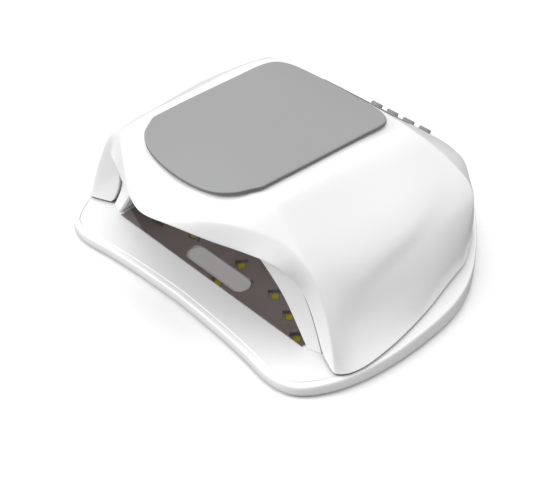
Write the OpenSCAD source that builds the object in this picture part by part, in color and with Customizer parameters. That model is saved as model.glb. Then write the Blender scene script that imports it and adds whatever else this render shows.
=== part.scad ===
// Nail lamp with a lift-off base: a moulded arch with light boards inside, on a tray with a mirror floor.
// X is to the right seen from the hand opening, the opening faces -Y, and Z = 0 is the table.

/* [Base] */
// Width of the base at its widest
base_w = 222; // [210:1:240]
// Depth of the base from front lip to rear edge
base_d = 190; // [184:1:204]
// Front lip of the base ahead of the feet of the arch
apron = 22; // [18:1:30]
// Height of the seam between base and lamp, at the feet of the arch
seam_h = 9; // [8:0.25:12]
// Rise of the seam towards the rear, per mm of depth
seam_rise = 0.05; // [0:0.01:0.07]
// How far the bottom of the base hangs above the table
foot_lift = 1.2; // [0.8:0.1:2]
// Thickness of the floor of the base
floor_t = 1.8; // [1.2:0.1:2.4]
// Thickness of the tray plate
tray_t = 2.4; // [2:0.1:3]
// Width of the rim that stays visible in front of the tray
lip_w = 3.2; // [2.5:0.1:5]
// Thickness of the mirror plate
mirror_t = 1; // [0.8:0.1:1.4]
// Depth of the mirror floor behind the feet of the arch
mirror_d = 96; // [80:1:98]
// Length of the grip slot in the mirror plate
slot_l = 48; // [30:1:60]
// Width of the grip slot in the mirror plate
slot_w = 12; // [9:0.5:16]
// Diameter of a rubber foot
foot_dia = 12; // [8:0.5:16]
// Thickness of a rubber foot
foot_t = 2; // [1.8:0.1:2.6]

/* [Lamp shell] */
// Distance between the outer feet of the arch at its front edge
arch_w = 201.2; // [196:0.4:206]
// Height of the flat top
top_h = 86.5; // [82:0.5:96]
// Width of the flat top at its front end
top_w = 98; // [90:1:104]
// Drop of the front centre of the top, the dip that the wrist lies in
dip = 7; // [2:0.5:9]
// Reach of the visor ahead of the feet of the arch
visor = 34; // [28:1:38]
// Length of the flat top behind the feet of the arch
top_l = 103; // [98:1:108]
// Fall of the rear slope per mm of depth
slope = 0.787; // [0.7:0.01:0.82]
// Wall of the shell
wall = 2.5; // [1.8:0.1:3]

/* [Hand tunnel] */
// Half width of the hand tunnel at its floor
tunnel_half = 76.5; // [70:0.5:78]
// Half width of the tunnel ceiling
ceiling_half = 44; // [38:0.5:46]
// Height of the tunnel ceiling above the table
ceiling_h = 58; // [54:0.5:60]
// Depth of the tunnel behind the feet of the arch
tunnel_d = 100; // [98:1:102]
// Wall of the reflector
reflector_t = 1.2; // [0.8:0.1:1.6]
// Wall of the inner frame
frame_t = 2; // [1.6:0.1:2.6]
// Thickness of every circuit board
board_t = 1.6; // [1:0.1:1.8]
// Side of a light bead
bead = 5; // [3.5:0.1:5.6]
// Height of a light bead
bead_h = 1.4; // [0.8:0.1:1.4]
// Side of the window round each bead
bead_window = 8; // [6.5:0.5:9]

/* [Hand rest] */
// Width of the grey pad
pad_w = 88; // [80:1:90]
// Rear edge of the pad behind the feet of the arch
pad_rear = 100; // [90:1:100]
// Front edge of the pad ahead of the feet of the arch
pad_front = 13.5; // [8:0.5:16]
// Thickness of the pad
pad_t = 3; // [2:0.1:4]

/* [Controls] */
// Distance between neighbouring buttons
button_pitch = 12.6; // [10.5:0.1:13]
// Length of a button cap
button_l = 8; // [6:0.1:9]
// Width of a button cap
button_w = 4.6; // [3.6:0.1:6]
// Height of a cap above the shell
button_rise = 2; // [1.5:0.1:2.6]
// Travel of a button
button_travel = 0.8; // [0.4:0.05:0.9]
// Place of the button row, down the slope from the top edge
button_v = 60.5; // [52:0.5:61]
// Place of the middle of the button row, right of the centre line
button_shift = 2.6; // [0:0.1:4]
// Length of the display window
window_l = 54; // [44:1:60]
// Width of the display window
window_w = 20; // [16:1:24]
// Thickness of the display window
window_t = 1.6; // [1.2:0.1:2]
// Place of the display window, down the slope
window_v = 25; // [20:1:30]
// Diameter of the supply jack
jack_dia = 8; // [6:0.1:9]
// Diameter of the hole for the supply plug
plug_dia = 5.6; // [5:0.1:6]
// Diameter of the centre pin of the jack
pin_dia = 2.1; // [1.6:0.1:2.5]

/* [Fasteners] */
// Shank diameter of the screws
screw_dia = 3; // [2.5:0.1:3.5]
// Head diameter of the screws
head_dia = 5.6; // [5:0.1:6.5]
// Shank diameter of the small screws that hold the boards
small_dia = 2; // [1.6:0.1:2.2]
// Diameter of the holding magnets
magnet_dia = 8; // [6:0.5:9]
// Thickness of the holding magnets
magnet_t = 1.6; // [1.2:0.1:1.8]

/* [Hidden] */

button_count = 4;
screw_head_h = 1.6;
// Front edge of the arch feet on Y, with the origin midway between the visor tip and the rear of the base
visor_tip = visor + 1;
ridge_y = (visor_tip - (base_d - apron)) / 2;
tilt = atan(seam_rise);
foot_half = arch_w / 2;
half_w = base_w / 2;
top_half = top_w / 2;
// Rear foot of the shell, measured from the feet of the arch as every g below is
ledge = 4.5;
rear_g = base_d - apron - ledge;
edge_drop = 2.5;
slope_a = atan(slope);
clearance = 0.3;

// Smooth curves: a clamped quadratic spline through a control polygon, n steps a span
function half_way(a, b) = (a + b) / 2;
function span_point(a, c, b, t) = (1 - t) * (1 - t) * a + 2 * t * (1 - t) * c + t * t * b;
function spline(p, n) = let (last = len(p) - 1) concat(
    [for (i = [1 : last - 1])
        let (a = i == 1 ? p[0] : half_way(p[i - 1], p[i]),
             b = i == last - 1 ? p[last] : half_way(p[i], p[i + 1]))
        for (k = [0 : n - 1]) span_point(a, p[i], b, k / n)],
    [p[last]]);
function column(rows, c) = [for (r = rows) r[c]];
function backwards(p) = [for (i = [len(p) - 1 : -1 : 0]) p[i]];
function flip_x(v) = len(v) == 3 ? [-v[0], v[1], v[2]] : [-v[0], v[1]];
// A half curve that starts on the centre line becomes the whole curve, right end first
function both_sides(p) = concat(backwards(p), [for (i = [1 : len(p) - 1]) flip_x(p[i])]);
// A half outline from front centre to rear centre becomes a closed loop
function closed_loop(p) = concat(p, [for (i = [len(p) - 2 : -1 : 1]) flip_x(p[i])]);
function unit(v) = norm(v) == 0 ? v : v / norm(v);
function flat_normal(a, b) = let (d = unit(b - a)) [d[1], -d[0]];
// Moves a closed counter-clockwise loop inwards by d
function inset(p, d) = let (n = len(p)) [for (i = [0 : n - 1])
    p[i] - d * flat_normal(p[(i + n - 1) % n], p[(i + 1) % n])];
// Moves an open curve that runs right to left over the top outwards by d
function grow(p, d) = let (n = len(p)) [for (i = [0 : n - 1])
    p[i] + d * flat_normal(p[max(0, i - 1)], p[min(n - 1, i + 1)])];

// Places
function at(x, g, z) = [x, ridge_y + g, z];
function seam(g) = seam_h + seam_rise * g;
// The lamp stands a clearance above the seam plane, which is the top of the tray
function foot(x, g) = at(x, g, seam(g) + clearance);
function slope_z(g) = top_h - edge_drop - slope * (g - top_l);
function top_fall(g) = g < 75 ? 0 : edge_drop * pow((g - 75) / (top_l - 75), 2);
function top_dip(x, g) = g > 35 || abs(x) > 44 ? 0
    : dip * pow((35 - g) / (35 + pad_front), 2) * (1 - pow(x / 44, 2));
function top_z(x, g) = top_h - top_fall(g) - top_dip(x, g);
module on_seam() translate([0, ridge_y, seam_h]) rotate([tilt, 0, 0]) children();
module on_slope() translate([0, ridge_y + top_l, top_h - edge_drop]) rotate([-slope_a, 0, 0]) children();
module above_seam(gap) intersection() {
    children();
    on_seam() translate([-base_w, -base_d, gap]) cube([2 * base_w, 3 * base_d, 2 * top_h]);
}
module each_side() {
    children();
    mirror([1, 0, 0]) children();
}
module rod(d, h) cylinder(d = d, h = h, $fn = 32);
module pill_outline(l, w) {
    square([l - w, w], center = true);
    for (s = [-1, 1]) translate([s * (l - w) / 2, 0]) circle(d = w, $fn = 32);
}
module pill(l, w, h) linear_extrude(h) pill_outline(l, w);

// Triangles over a thin bent outline, laid from its first and last points towards its far end
function strip(p, i, j) = i + 1 >= j ? []
    : norm(p[i + 1] - p[j]) < norm(p[i] - p[j - 1])
        ? concat([[i, i + 1, j]], strip(p, i + 1, j))
        : concat([[i, j - 1, j]], strip(p, i, j - 1));

// Skin over a row of closed loops of equal length, with both ends capped; thin ends are closed by strips
module skin(loops, thin = false) {
    n = len(loops);
    m = len(loops[0]);
    last = (n - 1) * m;
    sides = [for (i = [0 : n - 2], k = [0 : m - 1])
        let (a = i * m + k, b = i * m + (k + 1) % m)
        each [[a, b, b + m], [a, b + m, a + m]]];
    ends = thin
        ? concat([for (f = strip(loops[0], 0, m - 1)) [f[2], f[1], f[0]]],
            [for (f = strip(loops[n - 1], 0, m - 1)) [f[0] + last, f[1] + last, f[2] + last]])
        : [[for (k = [m - 1 : -1 : 0]) k], [for (k = [0 : m - 1]) last + k]];
    polyhedron(points = [for (l = loops) each l], faces = concat(sides, ends), convexity = 10);
}

// Control net of the shell: each row runs from the centre line down to the right foot
knee_h = 0.72 * top_h;
calf_h = 0.515 * top_h;
ankle_h = 0.255 * top_h;
shell_net = let (v = visor, t = top_h, w = top_half, f = foot_half, s = half_w - 2.5, l = top_l,
                 r = rear_g, k = knee_h, c = calf_h, a = ankle_h)
    let (upper = [at(0, -pad_front, t - dip), at(18, -pad_front + 2, top_z(18, 2 - pad_front)),
             at(w - 12, -2, t - 1), at(w, 2, t + 0.5), at(w + 11, 3, t - 8), at(f - 21, 4.5, k),
             at(f - 10.6, 5, c), at(f - 1, 5, a), foot(f + 5.5, 5)],
         crest = [at(0, l, slope_z(l)), at(20, l, slope_z(l)), at(40, l, slope_z(l)),
             at(w + 7.5, l, t - 4.5), at(w + 22, l + 5.5, t - 13.5), at(s - 20, l + 11, k - 3),
             at(s - 15.5, l + 3.5, c - 0.5), at(s - 15, l, a + 6), foot(s - 15, l + 2)])
    [
    [at(0, -v, t - dip - 7.5), at(16, 0.9 - 0.9 * v, t - dip - 7), at(34, -0.62 * v, t - 9),
        at(w + 1, -11.5, t - 10), at(w + 17, -1, t - 15), at(f - 20.6, 1, k), at(f - 10.6, 1, c),
        at(f - 2.1, 0.5, a), foot(f, 0)],
    upper, upper,
    [at(0, 16, top_z(0, 16)), at(18, 16, top_z(18, 16)), at(w - 11, 16, t - 0.2), at(w + 1.5, 16, t + 0.5),
        at(w + 13, 16, t - 8), at(f - 17.5, 16, k - 1), at(f - 10, 16, c), at(f - 5, 16, a), foot(s, 15)],
    [at(0, 38, t), at(20, 38, t), at(w - 10, 38, t), at(w + 2.5, 38, t + 0.5), at(w + 15, 38, t - 9),
        at(f - 16.6, 40, k), at(f - 8.6, 39, c + 1), at(f - 2, 38, a + 2), foot(s - 1, 38)],
    [at(0, 66, t), at(20, 66, t), at(w - 9, 66, t), at(w + 4, 66, t + 0.5), at(w + 19, 66, t - 10),
        at(s - 20.5, 72, k - 1.5), at(s - 12.5, 70, c + 1), at(s - 7, 68, a + 4), foot(s - 5.5, 66)],
    [at(0, 88, top_z(0, 88)), at(20, 88, top_z(0, 88)), at(w - 6, 88, top_z(0, 88)), at(w + 6.5, 88, t - 1),
        at(w + 20, 90, t - 11), at(s - 19.5, 98, k - 3), at(s - 13.5, 94, c), at(s - 11, 91, a + 5),
        foot(s - 11.5, 88)],
    crest, crest,
    [at(0, r - 15.5, slope_z(r - 15.5)), at(20, r - 15.5, slope_z(r - 15.5)),
        at(40, r - 16, slope_z(r - 16)), at(w + 5, r - 21, slope_z(r - 20)),
        at(w + 15, r - 27, slope_z(r - 24)), at(s - 34, r - 33, 0.5 * t), at(s - 27, r - 38, 0.4 * t),
        at(s - 23, r - 43, 0.3 * t), foot(s - 22, r - 46)],
    [at(0, r - 6, slope_z(r - 6)), at(19, r - 6, slope_z(r - 6)), at(37, r - 7, slope_z(r - 7)),
        at(w + 2, r - 14, 0.47 * t), at(w + 11, r - 20, 0.43 * t), at(s - 40, r - 27, 0.38 * t),
        at(s - 34, r - 31, 0.32 * t), at(s - 29.5, r - 35, 0.25 * t), foot(s - 27, r - 37)],
    [at(0, r - 1, 0.38 * t), at(18, r - 1, 0.38 * t), at(35, r - 2.5, 0.37 * t), at(w - 1, r - 9, 0.35 * t),
        at(w + 8, r - 15, 0.32 * t), at(s - 43, r - 21, 0.28 * t), at(s - 38, r - 25, 0.25 * t),
        at(s - 34, r - 28, 0.21 * t), foot(s - 32.5, r - 30.5)],
    [foot(0, r), foot(18, r), foot(34, r - 1.5), foot(w - 1, r - 7), foot(w + 6, r - 13),
        foot(s - 46.5, r - 18.5), foot(s - 42.5, r - 22), foot(s - 39, r - 25), foot(s - 35.5, r - 28)],
    ];
row_steps = 3;
column_steps = 3;
shell_rows = let (cols = [for (c = [0 : 8]) spline(column(shell_net, c), row_steps)])
    [for (r = [0 : len(cols[0]) - 1]) both_sides(spline(column(cols, r), column_steps))];
last_row = len(shell_rows) - 1;
last_col = len(shell_rows[0]) - 1;
first_inner = 2 * row_steps;
function shell_normal(r, c) = unit(cross(
    shell_rows[min(last_row, r + 1)][c] - shell_rows[max(0, r - 1)][c],
    shell_rows[r][min(last_col, c + 1)] - shell_rows[r][max(0, c - 1)]));
// The cut edges of the wall stay on one plane; at the two rear corners the way in is the mean of its neighbours'
function on_rim(p) = foot(p[0], p[1] - ridge_y);
function way_in(r, c) = r == last_row && (c == 0 || c == last_col)
    ? unit(shell_normal(r - 1, c) + shell_normal(r, c == 0 ? 1 : c - 1)) : shell_normal(r, c);
function inner_point(r, c) = let (p = shell_rows[r][c] - wall * way_in(r, c))
    r == last_row || c == 0 || c == last_col ? on_rim(p) : p;

// Edge of the hand opening in the shell, and the mouth of the tunnel behind it
opening_net = let (v = visor, f = foot_half, c = ceiling_h)
    [at(0, -visor_tip, c + 12.5), at(17, 2 - v, c + 12), at(34, 10 - v, c + 8.5), at(50, 18 - v, c + 6.5),
     at(f - 34.6, -9, c + 4), at(f - 26.6, -1, c - 8), at(f - 24, 4, c - 23), at(f - 18.5, 5, c - 39),
     foot(f - 13, 3.5)];
lean = atan((tunnel_half - ceiling_half) / (ceiling_h - seam_h - 1));
function wall_x(z) = tunnel_half - (z - seam_h - 1) * tan(lean);
mouth_net = let (c = ceiling_h)
    [at(0, -7, c), at(13, -7, c), at(ceiling_half - 17, -6.5, c), at(ceiling_half - 7, -6, c),
     at(ceiling_half + 1.5, -5, c), at(wall_x(c - 11.5), -1.5, c - 11.5), at(wall_x(c - 24), 1, c - 24),
     at(wall_x(c - 36), 1.4, c - 36), at(wall_x(seam(1.5)), 1.5, seam(1.5))];
opening = both_sides(spline(opening_net, column_steps));
mouth = both_sides(spline(mouth_net, column_steps));
tunnel = [for (p = mouth) [p[0], p[2]]];

// Base outline, counter-clockwise from the front centre: a shallow hollow in front, round at the rear
base_net = let (s = half_w, r = base_d - apron, a = apron)
    [[0, 3.5 - a], [45, 2.5 - a], [s - 23, -5 - a], [s - 6.5, 16 - a], [s + 0.3, 47 - a], [s + 0.2, 60],
     [s - 3, 85], [s - 12, 107], [s - 30.5, 132.5], [s - 53, r - 11.5], [33, r], [0, r]];
base_loop = closed_loop([for (p = spline(base_net, 3)) [p[0], p[1] + ridge_y]]);
// Outline of the tray: it shows in front and hides under the shell elsewhere
tray_net = let (s = half_w, r = rear_g, a = lip_w - apron)
    [[0, 3.5 + a], [45, 2.5 + a], [s - 25, -4.5 + a], [s - 11.5, -6], [s - 6.5, 8], [s - 6, 24], [s - 8.5, 50],
     [s - 14, 80], [s - 20, 106], [s - 34.5, 130], [s - 57, r - 10], [28, r - 1.8], [0, r - 1.8]];
tray_loop = closed_loop(spline(tray_net, 3));
rim_top = -clearance;
// Rings of the base wall from the rim down: drawn in by, share of the seam height, and added height
base_rings = [[2.9, 1, rim_top], [1.5, 1, rim_top - 0.3], [0.5, 1, rim_top - 1.1], [0, 1, rim_top - 2.6],
    [0, 0, foot_lift + 2], [0.7, 0, foot_lift + 0.7], [2.2, 0, foot_lift]];
function base_ring(k) = let (d = base_rings[k], loop = inset(base_loop, d[0]))
    [for (p = loop) [p[0], p[1], d[1] * seam(p[1] - ridge_y) + d[2]]];
tray_screw_l = 4;
tray_screws = [[half_w - 49, -4], [half_w - 23, 62], [half_w - 65, rear_g - 19]];
magnet_spots = [[half_w - 21, 46], [half_w - 53, rear_g - 31]];
peg_spot = [half_w - 20, 14];
peg_dia = 6;
peg_h = 3.6;
foot_spots = [[half_w - 37, 0], [half_w - 65, rear_g - 34]];
module at_spots(spots, z = 0) for (p = spots) each_side() translate([p[0], ridge_y + p[1], z]) children();

module base_bottom() color("white") {
    boss_top = foot_lift + 3.8;
    difference() {
        skin([for (k = [0 : len(base_rings) - 1]) base_ring(k)]);
        on_seam() translate([0, 0, -tray_t - 0.1]) linear_extrude(top_h)
            polygon(inset(tray_loop, -clearance));
        intersection() {
            on_seam() translate([0, 0, -top_h]) linear_extrude(2 * top_h) polygon(inset(tray_loop, 4));
            translate([-base_w, -base_d, foot_lift + floor_t]) cube([2 * base_w, 2 * base_d, top_h]);
        }
        at_spots(foot_spots) rod(foot_dia + 0.4, foot_t + 0.02);
        at_spots(tray_screws) {
            rod(head_dia + 0.6, foot_lift + 2.5);
            rod(screw_dia + 0.4, top_h);
        }
    }
    at_spots(tray_screws) difference() {
        translate([0, 0, foot_lift + 0.2]) rod(head_dia + 3.4, boss_top - foot_lift - 0.2);
        rod(head_dia + 0.6, foot_lift + 2.5);
        rod(screw_dia + 0.4, top_h);
    }
}

module base_tray() color("white") difference() {
    union() {
        on_seam() translate([0, 0, -tray_t]) linear_extrude(tray_t) polygon(tray_loop);
        on_seam() for (s = [-1, 1]) translate([s * peg_spot[0], peg_spot[1], -0.2]) rod(peg_dia, peg_h + 0.2);
        for (p = tray_screws) at_spots([p], foot_lift + 4) rod(7, seam(p[1]) - foot_lift - 4 - tray_t / 2);
    }
    at_spots(tray_screws) rod(screw_dia + 0.1, foot_lift + 2.7 + tray_screw_l);
    on_seam() {
        for (p = magnet_spots) each_side() translate([p[0], p[1], -magnet_t - 0.1]) rod(magnet_dia + 0.1, top_h);
        translate([0, 0, 0.3 - mirror_t]) linear_extrude(top_h) mirror_shape(0.2);
    }
}

module mirror_shape(margin = 0) {
    w = tunnel_half - 1.2 + margin;
    front = 2.6 - margin;
    back = mirror_d + margin;
    polygon([[-w, front], [w, front], [w, back - 8], [w - 8, back], [8 - w, back], [-w, back - 8]]);
}
module mirror_plate() color([0.32, 0.29, 0.28]) on_seam() translate([0, 0, 0.3 - mirror_t]) difference() {
    linear_extrude(mirror_t) mirror_shape();
    translate([0, 11, -1]) pill(slot_l, slot_w, mirror_t + 2);
}

module rubber_feet() color([0.2, 0.2, 0.2]) at_spots(foot_spots) rotate_extrude($fn = 48)
    polygon([[0, 0], [foot_dia / 2 - 0.6, 0], [foot_dia / 2, 0.6], [foot_dia / 2, foot_t], [0, foot_t]]);

small_head_h = 1.3;
// A screw that points up, its head below the origin
module screw(l) {
    translate([0, 0, -screw_head_h]) difference() {
        rod(head_dia, screw_head_h);
        translate([0, 0, -0.1]) cylinder(d = 2.4, h = 1, $fn = 6);
    }
    rod(screw_dia, l);
}
module small_screw(l) {
    translate([0, 0, -small_head_h]) rod(2 * small_dia, small_head_h);
    rod(small_dia - 0.1, l);
}
module base_screws() color("silver") at_spots(tray_screws, foot_lift + 2.5) screw(tray_screw_l);

module base_magnets() color([0.6, 0.6, 0.62]) on_seam()
    for (p = magnet_spots) each_side() translate([p[0], p[1], -magnet_t - 0.1]) rod(magnet_dia, magnet_t);

// Lamp body
// Bosses of the shell, square to the seam: place on the seam plane, and height
shell_bosses = [[half_w - 21, 31, 0.21 * top_h], [half_w - 19, 74, 0.28 * top_h],
    [half_w - 66, rear_g - 20, 0.325 * top_h]];
boss_dia = 7.4;
flange_t = 2.4;
seat_top = clearance + flange_t + 1.2;
// Seats of the sunk screw heads, above the seam plane
head_top = clearance + screw_head_h + 0.2;
frame_screw_l = 8;
module at_bosses(n) on_seam() for (p = shell_bosses) each_side() translate([p[0], p[1], n]) children();
module shell_boss(h) difference() {
    rod(boss_dia, h);
    translate([0, 0, -1]) rod(screw_dia + 0.1, frame_screw_l + 1);
}
window_play = 0.25;
window_proud = 0.3;
display_l = window_l - 8;
display_w = window_w - 6;
display_h = 6.5;
board_n = -wall - 0.1 - display_h;
module upper_shell() color("white") {
    difference() {
        skin([for (c = [0 : last_col]) concat(
            [for (r = [last_row : -1 : 0]) c == 0 || c == last_col ? on_rim(shell_rows[r][c]) : shell_rows[r][c]],
            [opening[c], c == 0 || c == last_col ? on_rim(opening[c] + [0, wall, 0]) : opening[c] + [0, wall, 0]],
            [for (r = [first_inner : last_row]) inner_point(r, c)])], thin = true);
        on_slope() {
            translate([0, window_v, window_proud - window_t])
                block([window_l + 2 * window_play, window_w + 2 * window_play, 9]);
            translate([0, window_v, -9]) block([display_l + 2 * clearance, display_w + 2 * clearance, 12]);
            for (i = [0 : button_count - 1]) translate([button_x(i), button_v, -9])
                pill(button_l + 2 * clearance, button_w + 2 * clearance, 14);
        }
        translate([0, ridge_y + rear_g + 5, jack_h]) rotate([90, 0, 0]) rod(jack_dia + 0.4, 12);
    }
    on_seam() for (p = shell_bosses) each_side() translate([p[0], p[1], seat_top]) shell_boss(p[2]);
    on_slope() for (p = control_holes) each_side() translate([p[0], p[1], board_n]) difference() {
        rod(2 * small_dia + 1, -wall / 2 - board_n);
        translate([0, 0, -1]) rod(small_dia, 5);
    }
}
module block(s) translate([-s[0] / 2, -s[1] / 2, 0]) cube(s);
function button_x(i) = button_shift + (i - (button_count - 1) / 2) * button_pitch;
jack_h = seam(rear_g) + 9.5;

trough_in = reflector_t + 0.1 + bead_h + board_t;
trough_out = trough_in + frame_t;
function legs_down(p, z) = concat(p, [[p[len(p) - 1][0], z], [p[0][0], z]]);
module trough_ring(inner, outer) difference() {
    polygon(legs_down(grow(tunnel, outer), 0));
    polygon(legs_down(grow(tunnel, inner), -seam_h));
}
module along_y(g0, g1) translate([0, ridge_y + g1, 0]) rotate([90, 0, 0]) linear_extrude(g1 - g0) children();

// The collar is the white rim of the hand opening; it turns back into the first stretch of the tunnel
sleeve_g = 9;
collar_play = 0.4;
collar_back = 0.8;
tunnel_grown = grow(tunnel, frame_t);
module collar() skin([for (c = [0 : len(mouth) - 1])
    let (edge = c == 0 || c == len(mouth) - 1, a = opening[c], m = mouth[c],
         q = a + collar_play * unit(m - a) + [0, collar_back, 0],
         o = [tunnel_grown[c][0], 0, tunnel_grown[c][1]],
         back = ridge_y + sleeve_g,
         loop = [q, m, [m[0], back, m[2]], [o[0], back, o[2]], [o[0], m[1] + 1.5, o[2]],
                 q + [0, frame_t + 0.4, 0]])
    [for (p = loop) edge ? on_rim(p) : p]]);
// Rear face of the rear light board, where the rear wall of the frame begins
frame_back = tunnel_d + 0.1 + bead_h + board_t;
post_spots = [[32, 24], [32, 82]];
post_top = ceiling_h + trough_out + 5;
function seam_place(p) = [p[0], p[1] - ridge_y];
flange_loop = concat([[0, 4.4], [40, 4.4], [foot_half - 16, 4.4]],
    [for (r = [0 : 3 : last_row]) if (shell_rows[r][0][1] > ridge_y + 12) seam_place(shell_rows[r][0])],
    [for (c = [column_steps : column_steps : last_col / 2]) seam_place(shell_rows[last_row][c])]);
module flange_shape() difference() {
    polygon(inset(closed_loop(flange_loop), wall + 3.4));
    polygon([[-wall_x(seam_h) - trough_in, -1], [wall_x(seam_h) + trough_in, -1],
             [wall_x(seam_h) + trough_in, frame_back], [-wall_x(seam_h) - trough_in, frame_back]]);
}
module inner_frame() color("whitesmoke") difference() {
    union() {
        collar();
        above_seam(0.6) {
            along_y(sleeve_g - 2.3, sleeve_g - 0.3) trough_ring(0.5, trough_out);
            along_y(sleeve_g - 0.5, frame_back + frame_t) trough_ring(trough_in, trough_out);
            along_y(frame_back, frame_back + frame_t) polygon(legs_down(grow(tunnel, trough_in + 0.5), 0));
        }
        on_seam() translate([0, 0, clearance]) linear_extrude(flange_t) flange_shape();
        at_bosses(clearance) rod(head_dia + 4, seat_top - clearance);
        at_spots(post_spots, ceiling_h + trough_in + 0.5) rod(6, post_top - ceiling_h - trough_in - 0.5);
        on_seam() for (p = magnet_spots) each_side() translate([p[0], p[1], clearance])
            rod(magnet_dia + 2.4, flange_t + 1);
        translate([0, ridge_y + rear_g - wall - jack_l / 2 - 3, seam(rear_g) + 1])
            block([jack_body, 4, jack_h - jack_body / 2 - seam(rear_g) - 1]);
    }
    at_spots(post_spots, post_top - 5) rod(small_dia, 6);
    on_seam() {
        each_side() translate([peg_spot[0], peg_spot[1], -1]) rod(peg_dia + 1, 12);
        for (p = magnet_spots) each_side() translate([p[0], p[1], 0]) rod(magnet_dia + 0.2, clearance + magnet_t + 0.1);
    }
    at_bosses(-1) {
        rod(head_dia + 0.6, 1 + head_top);
        rod(screw_dia + 0.4, 9);
    }
}

// Light boards and the bright liner in front of them; u runs up the wall, g into the tunnel
ceiling_spots = [[0, 48], [18.5, 42], [20.5, 62], [34, 33], [34, 52], [0, 78], [20, 84], [34, 72]];
wall_spots = [[14, 22], [34, 38], [14, 50], [34, 64], [14, 80]];
rear_spots = [[12, 46], [33, 30]];
module on_wall() translate([tunnel_half, 0, seam_h + 1]) rotate([0, -lean, 0]) children();
module ceiling_places(z) for (p = ceiling_spots) for (s = p[0] == 0 ? [1] : [-1, 1])
    translate([s * p[0], ridge_y + p[1], z]) children();
module wall_places(n) on_wall() for (p = wall_spots)
    translate([n, ridge_y + p[1], p[0]]) rotate([0, 90, 0]) children();
module rear_places(n) for (p = rear_spots) each_side()
    translate([p[0], ridge_y + tunnel_d + n, p[1]]) rotate([-90, 0, 0]) children();
module reflector() color([0.62, 0.6, 0.6]) above_seam(1) difference() {
    union() {
        along_y(sleeve_g, tunnel_d) trough_ring(0, reflector_t);
        along_y(tunnel_d - reflector_t, tunnel_d) polygon(legs_down(grow(tunnel, reflector_t / 2), 0));
    }
    ceiling_places(ceiling_h - 1) rotate([0, 0, 45]) block([bead_window, bead_window, reflector_t + 2]);
    each_side() wall_places(-1) rotate([0, 0, 45]) block([bead_window, bead_window, reflector_t + 2]);
    rear_places(-reflector_t - 1) block([bead_window, bead_window, reflector_t + 2]);
    translate([-sensor_l / 2 + 1, ridge_y + sensor_g - 3, ceiling_h - 1]) cube([sensor_l - 2, 6, reflector_t + 2]);
}
bead_n = reflector_t + 0.1;
module bead_block() block([bead, bead, bead_h]);
module ceiling_light_board() color("white")
    translate([-ceiling_half + 6, ridge_y + sleeve_g + 1, ceiling_h + bead_n + bead_h])
        cube([2 * ceiling_half - 12, tunnel_d - sleeve_g - 4, board_t]);
module wall_board() color("white") on_wall()
    translate([bead_n + bead_h, ridge_y + sleeve_g + 1, 7]) cube([board_t, tunnel_d - sleeve_g - 4, 31.5]);
module right_light_board() wall_board();
module left_light_board() mirror([1, 0, 0]) wall_board();
module rear_light_board() color("white")
    translate([-38, ridge_y + tunnel_d + 0.1 + bead_h, 22]) cube([76, board_t, 32]);
module ceiling_beads() color([0.85, 0.85, 0.2]) ceiling_places(ceiling_h + bead_n) rotate([0, 0, 45]) bead_block();
module right_beads() color([0.85, 0.85, 0.2]) wall_places(bead_n) rotate([0, 0, 45]) bead_block();
module left_beads() mirror([1, 0, 0]) right_beads();
module rear_beads() color([0.85, 0.85, 0.2]) rear_places(0.1) bead_block();

// Sensor that switches the lamp on when a hand comes in
sensor_l = 16;
sensor_g = 15;
module hand_sensor() color([0.15, 0.15, 0.17]) translate([0, ridge_y + sensor_g, ceiling_h + 0.2]) {
    translate([0, 0, 1]) block([sensor_l - 3, 5, bead_n + bead_h - 1.2]);
    for (s = [-1, 1]) translate([s * 3.5, 0, 0]) rod(3, 1.2);
}

// Hand rest: rings from the underside, round the edge and in again over the top, on the dip of the shell
pad_net = let (w = pad_w / 2, f = pad_front, r = pad_rear)
    [[0, -f], [0.5 * w, -f], [w - 8, -f / 2], [w - 4, 1], [w - 1.5, 5], [w - 1.5, 8], [w - 0.5, 30], [w, r - 30],
     [w + 0.5, r - 9], [w - 7, r - 2.5], [0.55 * w, r - 0.5], [0, r]];
pad_loop = closed_loop(spline(pad_net, 3));
pad_centre = [0, (pad_rear - pad_front) / 2 + 2];
pad_gap = 0.5;
// Rings from the top down: drawn in by, share of the way to the centre, height over the shell
pad_rings = [[2.4, 0.9, pad_t], [2.4, 0.6, pad_t], [2.4, 0.3, pad_t], [2.4, 0, pad_t], [1.2, 0, pad_t - 0.1],
    [0.4, 0, pad_t - 0.5], [0, 0, pad_t - 1.2], [0.2, 0, pad_gap + 0.4], [1, 0, pad_gap], [1, 0.3, pad_gap],
    [1, 0.6, pad_gap], [1, 0.9, pad_gap]];
function pad_ring(d) = [for (p = inset(pad_loop, d[0]))
    let (q = (1 - d[1]) * p + d[1] * pad_centre) at(q[0], q[1], top_z(q[0], q[1]) + d[2])];
module hand_rest_pad() color([0.7, 0.7, 0.7]) skin([for (d = pad_rings) pad_ring(d)]);

module display_window() color([0.06, 0.06, 0.07]) on_slope() translate([0, window_v, window_proud - window_t])
    block([window_l, window_w, window_t]);
module display_module() color([0.15, 0.15, 0.16]) on_slope()
    translate([0, window_v, board_n]) block([display_l, display_w, display_h]);
control_w = 68;
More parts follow.
